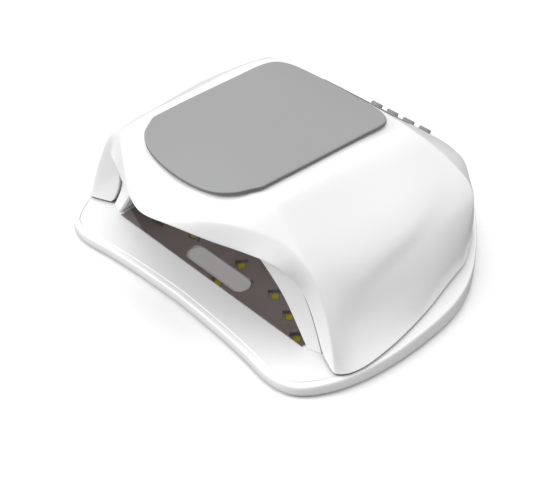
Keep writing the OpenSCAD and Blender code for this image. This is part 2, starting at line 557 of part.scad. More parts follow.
// The control board reaches from above the display to below the buttons
control_v0 = window_v - window_w / 2 - 6;
control_v1 = button_v + button_w / 2 + 3.7;
control_holes = [[30, window_v - 12], [30, window_v + 18]];
module control_board() color([0.1, 0.35, 0.2]) on_slope() difference() {
    translate([-control_w / 2, control_v0, board_n - board_t]) cube([control_w, control_v1 - control_v0, board_t]);
    for (p = control_holes) each_side() translate([p[0], p[1], board_n - board_t - 1])
        rod(small_dia + 0.4, board_t + 2);
}
switch_h = 2.6;
plunger_h = 0.9;
module tact_switches() color([0.1, 0.1, 0.1]) on_slope() for (i = [0 : button_count - 1])
    translate([button_x(i), button_v, board_n]) {
        block([6, 6, switch_h]);
        rod(3.2, switch_h + plunger_h);
    }
stem_end = board_n + switch_h + plunger_h + button_travel + 0.1;
module timer_button(i) color([0.55, 0.55, 0.56]) on_slope() translate([button_x(i), button_v, 0]) {
    translate([0, 0, -wall - 0.6]) pill(button_l, button_w, wall + button_rise);
    translate([0, 0, button_rise - 0.6]) linear_extrude(0.6, scale = [0.9, 0.82])
        pill_outline(button_l, button_w);
    translate([0, 0, -wall - 1.3]) pill(button_l + 2, button_w + 2, 1);
    translate([0, 0, stem_end]) rod(3.4, -wall - 0.8 - stem_end);
}
module timer_button_1() timer_button(0);
module timer_button_2() timer_button(1);
module timer_button_3() timer_button(2);
module timer_button_4() timer_button(3);

// Driver board on the posts of the inner frame
driver_w = 76;
driver_g = [18, 88];
module driver_board() color([0.1, 0.35, 0.2]) difference() {
    translate([-driver_w / 2, ridge_y + driver_g[0], post_top]) cube([driver_w, driver_g[1] - driver_g[0], board_t]);
    at_spots(post_spots, post_top - 1) rod(small_dia + 0.4, board_t + 2);
}
driver_top = post_top + board_t;
module driver_parts() translate([0, ridge_y, driver_top]) {
    color([0.12, 0.12, 0.13]) for (x = [-14, 0, 14]) translate([x, 66, 0]) rod(8, 8);
    color([0.25, 0.22, 0.2]) for (x = [-16, 16]) translate([x, 44, 0]) block([12, 12, 5]);
    color([0.1, 0.1, 0.1]) for (x = [-18, -6, 6, 18]) translate([x, 28, 0]) block([6.5, 9, 2.3]);
    color("ivory") translate([0, 80, 0]) block([20, 5, 5]);
}

// Supply inlet in the rear wall
jack_l = 15;
jack_body = jack_dia + 3;
module dc_jack() color([0.12, 0.12, 0.12]) translate([0, ridge_y + rear_g, jack_h]) rotate([90, 0, 0]) {
    difference() {
        union() {
            translate([0, 0, 0.4]) rod(jack_dia, wall + 4);
            translate([0, 0, wall + 3]) block([jack_body, jack_body, jack_l - wall - 3]);
        }
        rod(plug_dia, jack_l - 2);
    }
    translate([0, 0, 1.5]) rod(pin_dia, jack_l - 3);
}

module frame_screws() color("silver") at_bosses(head_top) screw(frame_screw_l);
module board_screws() color("silver") {
    at_spots(post_spots, driver_top) mirror([0, 0, 1]) small_screw(board_t + 4);
    on_slope() for (p = control_holes) each_side() translate([p[0], p[1], board_n - board_t])
        small_screw(board_t + 4);
}
module lamp_magnets() color([0.6, 0.6, 0.62]) on_seam()
    for (p = magnet_spots) each_side() translate([p[0], p[1], clearance]) rod(magnet_dia, magnet_t);

base_bottom();
base_tray();
mirror_plate();
rubber_feet();
base_screws();
base_magnets();
upper_shell();
inner_frame();
reflector();
hand_rest_pad();
display_window();
timer_button_1();
timer_button_2();
timer_button_3();
timer_button_4();
tact_switches();
control_board();
display_module();
driver_board();
driver_parts();
dc_jack();
ceiling_light_board();
left_light_board();
right_light_board();
rear_light_board();
ceiling_beads();
left_beads();
right_beads();
rear_beads();
hand_sensor();
frame_screws();
board_screws();
lamp_magnets();
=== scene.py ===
import math

import bpy
import numpy as np
from mathutils import Matrix, Vector
from mathutils.kdtree import KDTree


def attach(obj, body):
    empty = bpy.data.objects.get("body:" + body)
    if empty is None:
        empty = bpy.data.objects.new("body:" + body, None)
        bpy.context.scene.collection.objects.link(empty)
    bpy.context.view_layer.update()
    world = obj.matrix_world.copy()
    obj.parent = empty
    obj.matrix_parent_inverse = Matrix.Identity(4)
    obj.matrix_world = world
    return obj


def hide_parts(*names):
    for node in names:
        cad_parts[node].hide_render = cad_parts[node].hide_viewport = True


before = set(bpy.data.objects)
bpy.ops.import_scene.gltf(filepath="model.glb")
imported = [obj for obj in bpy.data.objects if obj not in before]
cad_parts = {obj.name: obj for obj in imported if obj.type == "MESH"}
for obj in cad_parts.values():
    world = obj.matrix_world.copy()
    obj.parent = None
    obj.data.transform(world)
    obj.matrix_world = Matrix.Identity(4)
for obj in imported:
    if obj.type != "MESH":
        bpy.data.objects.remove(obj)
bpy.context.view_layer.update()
scene = bpy.context.scene
mm = 0.001

# The camera stands where the photograph was taken from: before the hand opening, on the right and above.
# Its lens and its place were found from the outline, the creases and the seam of the lamp.
photo_lens = 76.07
camera_place = Vector((376.2, -364.4, 411.6)) * mm
camera_target = Vector((31.2, -43.6, 40.0)) * mm
camera_data = bpy.data.cameras.new("photo_camera")
camera_data.lens = photo_lens
camera_data.sensor_width = 36
camera_data.clip_start = 0.01
camera = bpy.data.objects.new("photo_camera", camera_data)
camera.location = camera_place
camera.rotation_euler = (camera_target - camera_place).to_track_quat("-Z", "Y").to_euler()
scene.collection.objects.link(camera)
scene.camera = camera
scene.view_settings.view_transform = "Standard"

# The studio: a round white floor with a pale room round it, and three soft lamps: one overhead, one at the
# front left and a weak one behind on the right. The floor is white to the camera and keeps the shadow.
floor_radius, paper_bounce = 0.75, 0.28
room_light_from, room_contrast, room_level = (-0.35, -0.5, 0.79), 0.46, 0.485


class Wire:
    """A value inside a material or the world; a sum or product of wires adds a Math node."""

    def __init__(self, tree, socket):
        self.tree = tree
        self.socket = socket

    def node(self, kind, settings, sockets, output=0):
        """Adds a node by its kind, its settings and the values or wires of its sockets."""
        box = self.tree.nodes.new("ShaderNode" + kind)
        for key, value in settings.items():
            setattr(box, key, value)
        for key, value in sockets.items():
            if isinstance(value, Wire):
                self.tree.links.new(value.socket, box.inputs[key])
            else:
                box.inputs[key].default_value = value
        return Wire(self.tree, box.outputs[output])

    def math(self, operation, first, second):
        return self.node("Math", {"operation": operation}, {0: first, 1: second})

    def __add__(self, other):
        return self.math("ADD", self, other)

    def __mul__(self, other):
        return self.math("MULTIPLY", self, other)

    def over(self, limit):
        return self.math("GREATER_THAN", self, limit)

    __radd__ = __add__
    __rmul__ = __mul__

    def to(self, socket):
        self.tree.links.new(self.socket, socket)


def blend_colours(factor, first, second):
    return factor.node("Mix", {"data_type": "RGBA"}, {"Factor": factor, 6: first, 7: second}, 2)


room = bpy.data.worlds.new("pale_room")
room.use_nodes = True
scene.world = room
tree = room.node_tree
tree.nodes.clear()
ray = tree.nodes.new("ShaderNodeLightPath")
seen = (Wire(tree, ray.outputs["Is Camera Ray"]) + Wire(tree, ray.outputs["Is Glossy Ray"])
        + Wire(tree, ray.outputs["Is Transmission Ray"]))
way = Wire(tree, tree.nodes.new("ShaderNodeTexCoord").outputs["Generated"])
# The room is lighter overhead and to the front left than low down on the right
lighter = way.node("VectorMath", {"operation": "DOT_PRODUCT"}, {0: way, 1: room_light_from}, 1)
ambient = lighter * room_contrast + room_level
light = ambient.node("Background", {}, {"Color": ambient, "Strength": 1.0})
white = seen.node("Background", {}, {"Color": (1, 1, 1, 1), "Strength": 1.0})
mixed = seen.node("MixShader", {}, {"Fac": seen, 1: light, 2: white})
mixed.to(tree.nodes.new("ShaderNodeOutputWorld").inputs["Surface"])

bpy.ops.object.select_all(action="DESELECT")
bpy.ops.mesh.primitive_circle_add(vertices=96, radius=floor_radius, fill_type="NGON")
floor = bpy.context.object
floor.name = "studio_floor"
floor_finish = bpy.data.materials.new("white_paper")
floor_finish.use_nodes = True
tree = floor_finish.node_tree
paper = tree.nodes["Principled BSDF"]
paper.inputs["Roughness"].default_value = 0.9
paper.inputs["Specular IOR Level"].default_value = 0.1
# The paper throws back less light on the sides of the lamp than its white to the camera would
straight = Wire(tree, tree.nodes.new("ShaderNodeLightPath").outputs["Is Camera Ray"])
tone = blend_colours(straight, (paper_bounce, paper_bounce, paper_bounce, 1), (1, 1, 1, 1))
tone.to(paper.inputs["Base Color"])
floor.data.materials.append(floor_finish)


def soft_lamp(name, place, aim, side, power):
    """A rectangle of light turned from its place to its aim, in metres and watts."""
    data = bpy.data.lights.new(name, "AREA")
    data.shape = "RECTANGLE"
    data.size, data.size_y = side
    data.energy = power
    lamp = bpy.data.objects.new(name, data)
    lamp.location = place
    lamp.rotation_euler = (Vector(aim) - Vector(place)).to_track_quat("-Z", "Y").to_euler()
    scene.collection.objects.link(lamp)
    return lamp


soft_lamp("overhead_lamp", place=(0.05, 0.05, 1.5), aim=(0, 0, 0), side=(1.3, 1.2), power=8)
soft_lamp("front_lamp", place=(-0.95, -1.2, 0.8), aim=(0, 0, 0.03), side=(0.8, 0.6), power=12)
rear_lamp = soft_lamp("rear_lamp", place=(1.2, 0.75, 0.75), aim=(0, 0, 0.04), side=(0.7, 0.5), power=4)
rear_lamp.visible_glossy = False
# A card of light in the tunnel stands in for the daylight that its bright liner hands on
fill = soft_lamp("tunnel_fill", place=(0, -0.012, 0.017), aim=(0, -0.012, 0.06), side=(0.1, 0.07),
                 power=0.012)
fill.visible_camera = False
fill.visible_glossy = False

# The base bottom: a white moulded pan whose rim shows all round the lamp body, with a rounded edge.
# Four wells in its underside take the rubber feet, and six sunk holes take the screws of the tray.
base_w, base_d, apron = 222, 190, 22
seam_h, seam_rise = 9, 0.05
foot_lift, floor_t, tray_t = 1.2, 1.8, 2.4
clearance = 0.3
well_d, well_h = 12.4, 3.02
sink_d, sink_h = 6.2, 2.9
bore_d, bore_h = 3.4, 8
# Places are given as x and as g, the way back from the front ridge of the lamp body
ridge_y = -66.5
half_w = base_w / 2
rear_g = base_d - apron - 4.5
base_net = [(0, 3.5 - apron), (45, 2.5 - apron), (half_w - 23, -5 - apron), (half_w - 6.5, 16 - apron),
            (half_w + 0.3, 47 - apron), (half_w + 0.2, 60), (half_w - 3, 85), (half_w - 12, 107),
            (half_w - 30.5, 132.5), (half_w - 53, base_d - apron - 11.5), (33, base_d - apron),
            (0, base_d - apron)]
lip_front = 3.2 - apron
tray_net = [(0, 3.5 + lip_front), (45, 2.5 + lip_front), (half_w - 25, -4.5 + lip_front),
            (half_w - 11.5, -6), (half_w - 6.5, 8), (half_w - 6, 24), (half_w - 8.5, 50), (half_w - 14, 80),
            (half_w - 20, 106), (half_w - 34.5, 130), (half_w - 57, rear_g - 10), (28, rear_g - 1.8),
            (0, rear_g - 1.8)]


def spline(points, steps):
    """A clamped quadratic spline along the first axis, so many steps a span."""
    p = np.asarray(points, float)
    out = []
    for i in range(1, len(p) - 1):
        start = p[0] if i == 1 else (p[i - 1] + p[i]) / 2
        end = p[-1] if i == len(p) - 2 else (p[i] + p[i + 1]) / 2
        for t in np.arange(steps) / steps:
            out.append((1 - t) ** 2 * start + 2 * t * (1 - t) * p[i] + t * t * end)
    return np.array(out + [p[-1]])


def closed_loop(half):
    """Half an outline, from front centre to rear centre, with its mirror image: counter-clockwise."""
    other = half[-2:0:-1] * [-1, 1]
    return np.vstack([half, other])


def inset(loop, d):
    """The loop drawn in by d."""
    ahead = np.roll(loop, -1, 0) - np.roll(loop, 1, 0)
    out = np.column_stack([ahead[:, 1], -ahead[:, 0]])
    return loop - d * out / np.linalg.norm(out, axis=1)[:, None]


def at_angles(loop, like):
    """The points of a loop that lie in the same directions from the centre as those of another."""
    centre = np.array([0, 72])
    way, wanted_way = loop - centre, like - centre
    angle = np.arctan2(way[:, 1], way[:, 0]) % (2 * math.pi)
    wanted = np.arctan2(wanted_way[:, 1], wanted_way[:, 0])
    order = np.argsort(angle)
    reach = np.interp(wanted % (2 * math.pi), angle[order], np.hypot(way[:, 0], way[:, 1])[order],
                      period=2 * math.pi)
    return centre + np.column_stack([reach * np.cos(wanted), reach * np.sin(wanted)])


def seam(g):
    """The height of the seam between base and lamp body, which rises a little to the rear."""
    return seam_h + seam_rise * g


def ring(loop, tilted, z):
    """A flat loop (x, g) as points: on the seam plane's slope where tilted, else level."""
    height = (seam(loop[:, 1]) if tilted else 0) + z
    return np.column_stack([loop[:, 0], loop[:, 1] + ridge_y, height * np.ones(len(loop))])


def loft(name, loops):
    """A grid wrapped over closed loops of equal length, its seam merged and both ends closed."""
    loops = np.asarray(loops, float) * mm
    wrapped = np.concatenate([loops, loops[:, :1]], axis=1)
    rows, columns = wrapped.shape[:2]
    bpy.ops.object.select_all(action="DESELECT")
    bpy.ops.mesh.primitive_grid_add(x_subdivisions=columns - 1, y_subdivisions=rows - 1, size=1)
    piece = bpy.context.object
    piece.name = name
    piece.data.vertices.foreach_set("co", wrapped.reshape(-1))
    piece.data.update()
    bpy.ops.object.mode_set(mode="EDIT")
    bpy.ops.mesh.select_all(action="SELECT")
    bpy.ops.mesh.remove_doubles(threshold=3e-6)
    bpy.ops.mesh.fill_holes(sides=0)
    bpy.ops.mesh.select_all(action="SELECT")
    bpy.ops.mesh.normals_make_consistent(inside=False)
    bpy.ops.object.mode_set(mode="OBJECT")
    return piece


def only(piece):
    bpy.ops.object.select_all(action="DESELECT")
    piece.select_set(True)
    bpy.context.view_layer.objects.active = piece


def apply_all(piece):
    """Applies the modifiers of a piece."""
    only(piece)
    for modifier in list(piece.modifiers):
        bpy.ops.object.modifier_apply(modifier=modifier.name)


def smooth(piece, degrees=28):
    only(piece)
    bpy.ops.object.shade_smooth_by_angle(angle=math.radians(degrees))


def rod(name, place, diameter, height, sides=48, turn=None):
    """A round bar on its lower end; place is in millimetres, turn is a matrix."""
    bpy.ops.object.select_all(action="DESELECT")
    bpy.ops.mesh.primitive_cylinder_add(vertices=sides, radius=diameter / 2 * mm, depth=height * mm)
    piece = bpy.context.object
    piece.name = name
    lift = Matrix.Translation((0, 0, height / 2 * mm))
    move = Matrix.Translation(Vector(place) * mm)
    piece.data.transform(move @ (turn or Matrix.Identity(4)) @ lift)
    return piece


def join(pieces):
    only(pieces[0])
    for other in pieces[1:]:
        other.select_set(True)
    if len(pieces) > 1:
        bpy.ops.object.join()
    return pieces[0]


def cut(piece, tools):
    """Takes the tools' shape out of the piece, and the tools out of the scene."""
    tool = join(tools)
    step = piece.modifiers.new("cut", "BOOLEAN")
    step.operation = "DIFFERENCE"
    step.solver = "EXACT"
    step.object = tool
    apply_all(piece)
    bpy.data.objects.remove(tool)


def new_finish(name, rough, **fixed):
    """A material with a plain Principled surface; fixed sets sockets that are the same all over."""
    material = bpy.data.materials.new(name)
    material.use_nodes = True
    inner = material.node_tree
    surface = inner.nodes["Principled BSDF"]
    surface.inputs["Roughness"].default_value = rough
    for key, value in fixed.items():
        surface.inputs[key.replace("_", " ").title().replace("Ior", "IOR")].default_value = value
    place = Wire(inner, inner.nodes.new("ShaderNodeTexCoord").outputs["Object"])
    return material, place, surface


def noise(place, scale, detail=2.0):
    return place.node("TexNoise", {}, {"Vector": place, "Scale": scale, "Detail": detail})


def moulded(name, colour, rough, grain, depth, **fixed):
    """Moulded plastic or rubber: tone and shine drift a little, and depth is that of its fine grain."""
    material, place, surface = new_finish(name, rough, **fixed)
    drift = noise(place, 18)
    pale = tuple(min(1, c * 1.004) for c in colour[:3]) + (1,)
    deep = tuple(c * 0.99 for c in colour[:3]) + (1,)
    blend_colours(drift, deep, pale).to(surface.inputs["Base Color"])
    shine = noise(place, 70, 3) * 0.04 + (rough - 0.02)
    shine.to(surface.inputs["Roughness"])
    if depth:
        height = noise(place, grain, 2)
        bump = height.node("Bump", {}, {"Strength": 0.3, "Distance": depth, "Height": height})
        bump.to(surface.inputs["Normal"])
    return material


def dress(piece, *materials):
    piece.data.materials.clear()
    for material in materials:
        piece.data.materials.append(material)


base_loop = closed_loop(spline(base_net, 10))
tray_loop = closed_loop(spline(tray_net, 10))
ledge = -tray_t - 0.1
well_edge = at_angles(inset(tray_loop, 4), base_loop)
tray_seat = at_angles(inset(tray_loop, -clearance), base_loop)
pan_top = -clearance
tray_rim = at_angles(inset(tray_loop, -clearance - 0.5), base_loop)
pan = [ring(well_edge, False, foot_lift + floor_t), ring(well_edge, True, ledge),
       ring(tray_seat, True, ledge), ring(tray_seat, True, pan_top - 0.5), ring(tray_rim, True, pan_top)]
# The section of the rim: how far it is drawn in, and its height over the seam, then over the table
rim_top = [(3.4, pan_top), (2.2, pan_top), (0.4, pan_top - 0.2), (0, pan_top - 1.9), (0, pan_top - 3)]
rim_foot = [(0, foot_lift + 2.2), (0, foot_lift + 1.2), (0.6, foot_lift), (2.2, foot_lift)]
for drawn_in, height in spline(rim_top, 4):
    pan.append(ring(inset(base_loop, drawn_in), True, height))
for drawn_in, height in spline(rim_foot, 4):
    pan.append(ring(inset(base_loop, drawn_in), False, height))
base_pan = loft("base_pan", pan)
foot_spots = [(half_w - 37, 0), (half_w - 65, rear_g - 34)]
tray_screws = [(half_w - 49, -4), (half_w - 23, 62), (half_w - 65, rear_g - 19)]
holes = []
for side in (-1, 1):
    for x, g in foot_spots:
        holes.append(rod("well", (side * x, ridge_y + g, -1), well_d, well_h))
    for x, g in tray_screws:
        holes.append(rod("sink", (side * x, ridge_y + g, -1), sink_d, sink_h))
        holes.append(rod("bore", (side * x, ridge_y + g, -1), bore_d, bore_h))
cut(base_pan, holes)
smooth(base_pan)
base_white = moulded("base_white_plastic", (0.93, 0.93, 0.935), 0.3, 900, 0,
                     coat_weight=0.25, coat_roughness=0.12)
dress(base_pan, base_white)
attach(base_pan, "base")
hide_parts("base_bottom")

# The tray: a white moulded plate that drops into the pan on six screws. It carries the mirror floor in a
# shallow recess, two pegs that find the lamp body and four magnets that hold it.
mirror_t, mirror_front, mirror_d, tunnel_half = 1, 1.2, 96, 76.5
peg_d, peg_h, magnet_bore, magnet_deep = 6, 3.9, 8.1, 1.7
magnet_spots = [(half_w - 21, 46), (half_w - 53, rear_g - 31)]
peg_spot = (half_w - 20, 14)
tilt = Matrix.Rotation(math.atan(seam_rise), 4, "X")


def on_seam(x, g, n):
    """A place on the seam plane, n over it, in millimetres."""
    place = tilt @ Vector((x, g, n))
    return (place.x, place.y + ridge_y, place.z + seam_h)


tray_rings = [ring(inset(tray_loop, 0.6), True, -tray_t), ring(tray_loop, True, 0.4 - tray_t)]
for drawn_in, height in spline([(0, -1.0), (0, 0), (1.1, 0)], 5):
    tray_rings.append(ring(inset(tray_loop, drawn_in), True, height))
tray_plate = loft("tray_plate", tray_rings)


def round_edges(piece, width, segments):
    """Rounds the edges of a piece that turn by more than 60 degrees."""
    step = piece.modifiers.new("round", "BEVEL")
    step.width = width * mm
    step.segments = segments
    step.limit_method = "ANGLE"
    step.angle_limit = math.radians(60)
    apply_all(piece)


def floor_outline(margin):
    """The outline of the mirror floor, wider by a margin all round, with its rear corners cut off."""
    w = tunnel_half - 1.2 + margin
    front, back = mirror_front - margin, mirror_d + margin
    return [(-w, front), (w, front), (w, back - 8), (w - 8, back), (8 - w, back), (-w, back - 8)]


def prism(name, outline, low, high, matrix):
    """A flat outline drawn up from low to high, then put in place by a matrix, in millimetres."""
    bpy.ops.object.select_all(action="DESELECT")
    bpy.ops.mesh.primitive_circle_add(vertices=len(outline), radius=1, fill_type="NGON")
    piece = bpy.context.object
    piece.name = name
    for vertex, (x, y) in zip(piece.data.vertices, outline):
        vertex.co = (x * mm, y * mm, low * mm)
    bpy.ops.object.mode_set(mode="EDIT")
    bpy.ops.mesh.select_all(action="SELECT")
    bpy.ops.mesh.extrude_region_move(TRANSFORM_OT_translate={"value": (0, 0, (high - low) * mm)})
    bpy.ops.mesh.select_all(action="SELECT")
    bpy.ops.mesh.normals_make_consistent(inside=False)
    bpy.ops.object.mode_set(mode="OBJECT")
    piece.data.transform(matrix)
    return piece


seam_matrix = Matrix.Translation((0, ridge_y * mm, seam_h * mm)) @ tilt
recess = prism("recess", floor_outline(0.2), clearance - mirror_t, 6, seam_matrix)
pockets = [rod("pocket", on_seam(side * x, g, -magnet_deep), magnet_bore, 6, turn=tilt)
           for x, g in magnet_spots for side in (-1, 1)]
cut(tray_plate, [recess])
cut(tray_plate, pockets)
pegs = []
for side in (-1, 1):
    peg = rod("peg", on_seam(side * peg_spot[0], peg_spot[1], -0.3), peg_d, peg_h, turn=tilt)
    round_edges(peg, 0.7, 4)
    pegs.append(peg)
tray_plate = join([tray_plate] + pegs)
smooth(tray_plate)
tray_white = moulded("tray_white_plastic", (0.87, 0.87, 0.875), 0.33, 900, 0.00002,
                     coat_weight=0.2, coat_roughness=0.15)
# The ground of the recess, seen through the grip slot, is matt, with the tunnel's shade painted in grey
recess_painted_shade = moulded("recess_floor_painted_shade", (0.5, 0.49, 0.49), 0.6, 900, 0.00002,
                      specular_ior_level=0.2)
dress(tray_plate, tray_white, recess_painted_shade)
# The floor of the recess under the mirror gets the painted shade
for face in tray_plate.data.polygons:
    under = seam(face.center.y / mm - ridge_y) - face.center.z / mm
    face.material_index = int(face.normal.z > 0.9 and under > 0.6)
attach(tray_plate, "base")
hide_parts("base_tray")

# The mirror floor: a thin plastic plate with a dark mirror film on it, which throws the light back up at
# the nails. It lies loose in the recess of the tray, and a grip slot serves to lift it out.
slot_l, slot_w, slot_g = 48, 12, 10


def pill(l, w, steps=16):
    """The outline of a bar with round ends, counter-clockwise."""
    turns = [math.pi * (i / steps - 0.5) for i in range(steps + 1)]
    right = [((l - w) / 2 + w / 2 * math.cos(q), w / 2 * math.sin(q)) for q in turns]
    return right + [(-x, -y) for x, y in right]


mirror_film, place, surface = new_finish("mirror_film", 0.05, metallic=1.0)
smear = noise(place, 26, 4)
blend_colours(smear, (0.56, 0.52, 0.515, 1), (0.60, 0.56, 0.555, 1)).to(surface.inputs["Base Color"])
(smear * 0.05 + 0.02).to(surface.inputs["Roughness"])
mirror = prism("mirror_floor", floor_outline(0), clearance - mirror_t, clearance, seam_matrix)
cut(mirror, [prism("slot", [(x, y + slot_g) for x, y in pill(slot_l, slot_w)], -3, 3, seam_matrix)])
round_edges(mirror, 0.25, 2)
dress(mirror, mirror_film)
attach(mirror, "base")
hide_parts("mirror_plate")

# The lamp housing: one large white moulding of ABS over the arch, with a visor over the hand opening, a
# sharp ridge in front, a flat rear slope, and openings for the display, the four keys and the supply jack.
# It is lofted through rows from foot to foot, with an inner skin one wall behind the outer one.
arch_w, top_h, top_w, dip, visor, top_l = 201.2, 86.5, 98, 7, 34, 103
slope, wall, edge_drop, pad_front = 0.787, 2.5, 2.5, 13.5
ceiling_h = 58
foot_half, top_half = arch_w / 2, top_w / 2
slope_a = math.atan(slope)


def at(x, g, z):
    return (x, ridge_y + g, z)


def foot(x, g):
    return at(x, g, seam(g) + clearance)


def slope_z(g):
    """The height of the rear slope."""
    return top_h - edge_drop - slope * (g - top_l)


def top_z(x, g):
    """The height of the top, with the dip for the wrist in front and a soft fall to the rear."""
    x, g = np.asarray(x, float), np.asarray(g, float)
    fall = np.where(g < 75, 0, edge_drop * ((g - 75) / (top_l - 75)) ** 2)
    hollow = dip * ((35 - g) / (35 + pad_front)) ** 2 * (1 - (x / 44) ** 2)
    return top_h - fall - np.where((g > 35) | (abs(x) > 44), 0, hollow)


# Short names for the rows below: visor, top, half widths of top, front foot and side foot, then the heights
# of the shoulder, the middle and the ankle of the sides, the end of the top and the rear
v, t, w, f, s = visor, top_h, top_half, foot_half, half_w - 2.5
k, c, a, l, r = 0.72 * top_h, 0.515 * top_h, 0.255 * top_h, top_l, rear_g
brow = [at(0, -v, t - dip - 7.5), at(16, 0.9 - 0.9 * v, t - dip - 7), at(34, -0.62 * v, t - 9),
        at(w + 1, -11.5, t - 10), at(w + 17, -1, t - 15), at(f - 20.6, 1, k), at(f - 10.6, 1, c),
        at(f - 2.1, -0.8, a), foot(f, -2)]
ridge = [at(0, -pad_front, t - dip), at(18, 2 - pad_front, top_z(18, 2 - pad_front)), at(w - 12, -2, t - 1),
         at(w, 2, t + 0.5), at(w + 11, 3, t - 8), at(f - 21, 4.5, k), at(f - 10.6, 5, c), at(f - 1, 4, a),
         foot(f + 5.5, 3)]
flank = [
    [at(0, 16, top_z(0, 16)), at(18, 16, top_z(18, 16)), at(w - 11, 16, t - 0.2), at(w + 1.5, 16, t + 0.5),
     at(w + 13, 16, t - 8), at(f - 17.5, 16, k - 1), at(f - 10, 16, c), at(f - 5, 16, a), foot(s, 15)],
    [at(0, 38, t), at(20, 38, t), at(w - 10, 38, t), at(w + 2.5, 38, t + 0.5), at(w + 15, 38, t - 9),
     at(f - 16.6, 40, k), at(f - 8.6, 39, c + 1), at(f - 2, 38, a + 2), foot(s - 1, 38)],
    [at(0, 66, t), at(20, 66, t), at(w - 9, 66, t), at(w + 4, 66, t + 0.5), at(w + 19, 66, t - 10),
     at(s - 20.5, 72, k - 1.5), at(s - 12.5, 70, c + 1), at(s - 7, 68, a + 4), foot(s - 5.5, 66)],
    [at(0, 88, top_z(0, 88)), at(20, 88, top_z(0, 88)), at(w - 6, 88, top_z(0, 88)), at(w + 6.5, 88, t - 1),
     at(w + 20, 90, t - 11), at(s - 19.5, 98, k - 3), at(s - 13.5, 94, c), at(s - 11, 91, a + 5),
     foot(s - 11.5, 88)]]
crest = [at(0, l, slope_z(l)), at(20, l, slope_z(l)), at(40, l, slope_z(l)), at(w + 7.5, l, t - 4.5),
         at(w + 22, l + 5.5, t - 13.5), at(s - 20, l + 11, k - 3), at(s - 15.5, l + 3.5, c - 0.5),
         at(s - 15, l, a + 6), foot(s - 15, l + 2)]
rear = [
    [at(0, r - 15.5, slope_z(r - 15.5)), at(20, r - 15.5, slope_z(r - 15.5)),
     at(40, r - 16, slope_z(r - 16)), at(w + 5, r - 21, slope_z(r - 20)),
     at(w + 15, r - 27, slope_z(r - 24)), at(s - 34, r - 33, 0.5 * t), at(s - 27, r - 38, 0.4 * t),
     at(s - 23, r - 43, 0.3 * t), foot(s - 22, r - 46)],
    [at(0, r - 6, slope_z(r - 6)), at(19, r - 6, slope_z(r - 6)), at(37, r - 7, slope_z(r - 7)),
     at(w + 2, r - 14, 0.47 * t), at(w + 11, r - 20, 0.43 * t), at(s - 40, r - 27, 0.38 * t),
     at(s - 34, r - 31, 0.32 * t), at(s - 29.5, r - 35, 0.25 * t), foot(s - 27, r - 37)],
    [at(0, r - 1, 0.38 * t), at(18, r - 1, 0.38 * t), at(35, r - 2.5, 0.37 * t), at(w - 1, r - 9, 0.35 * t),
     at(w + 8, r - 15, 0.32 * t), at(s - 43, r - 21, 0.28 * t), at(s - 38, r - 25, 0.25 * t),
     at(s - 34, r - 28, 0.21 * t), foot(s - 32.5, r - 30.5)],
    [foot(0, r), foot(18, r), foot(34, r - 1.5), foot(w - 1, r - 7), foot(w + 6, r - 13),
     foot(s - 46.5, r - 18.5), foot(s - 42.5, r - 22), foot(s - 39, r - 25), foot(s - 35.5, r - 28)]]
h = ceiling_h
opening_net = [at(0, -v - 1, h + 12.5), at(17, 2 - v, h + 12), at(34, 10 - v, h + 8.5),
               at(50, 18 - v, h + 6.5), at(f - 34.6, -9, h + 4), at(f - 26.6, -1, h - 8),
               at(f - 24, 4, h - 23), at(f - 18.5, 5, h - 39), foot(f - 13, 3.5)]


def on_rim(points):
    """The same places on the lower edge of the housing."""
    points = np.array(points, float)
    points[..., 2] = seam(points[..., 1] - ridge_y) + clearance
    return points


def both_sides(row):
    """A row from the centre line to the right foot, with its mirror image, smooth over the centre line."""
    row = np.array(row, float)
    centre = 2 * row[:1] - row[1:2] * [0, 1, 1]
    return np.vstack([row[:0:-1], centre, row[1:] * [-1, 1, 1]])


def softened(before, edge, after, reach):
    """Two rows in place of one, moved a little to either side, so that the edge comes out rounded."""
    rows = []
    for towards in (before, after):
        way = towards - edge
        length = np.linalg.norm(way, axis=1)[:, None]
        rows.append(edge + way * np.minimum(reach / np.maximum(length, 1e-6), 0.4))
    return rows


brow, ridge, crest, opening_row = (both_sides(row) for row in (brow, ridge, crest, opening_net))
flank = [both_sides(row) for row in flank]
rear = [both_sides(row) for row in rear]
lip_back = opening_row + [0, wall, 0]
lip_back[[0, -1]] = on_rim(lip_back[[0, -1]])
rim_round, brow_round, ridge_round, crest_round = 0.5, 1.2, 2.4, 1.3
net = [lip_back, *softened(lip_back, opening_row, brow, rim_round),
       *softened(opening_row, brow, ridge, brow_round),
       *softened(brow, ridge, flank[0], ridge_round), *flank,
       *softened(flank[-1], crest, rear[0], crest_round), *rear]
row_steps, column_steps = 6, 6
inside_from, inside_every = 6 * row_steps, 3
skin = spline(np.array(net), row_steps)
skin = np.swapaxes(spline(np.swapaxes(skin, 0, 1), column_steps), 0, 1)
skin[:, [0, -1]] = on_rim(skin[:, [0, -1]])
along = np.gradient(skin, axis=0)
across = np.gradient(skin, axis=1)
out = np.cross(across, along)
out /= np.maximum(np.linalg.norm(out, axis=2), 1e-9)[:, :, None]
out *= np.sign(out[len(out) // 2, out.shape[1] // 2, 2])
# At the two rear corners the way out is the mean of those beside them
for corner, beside in ((0, 1), (-1, -2)):
    mean = out[-1, beside] + out[-2, corner]
    out[-1, corner] = mean / np.linalg.norm(mean)
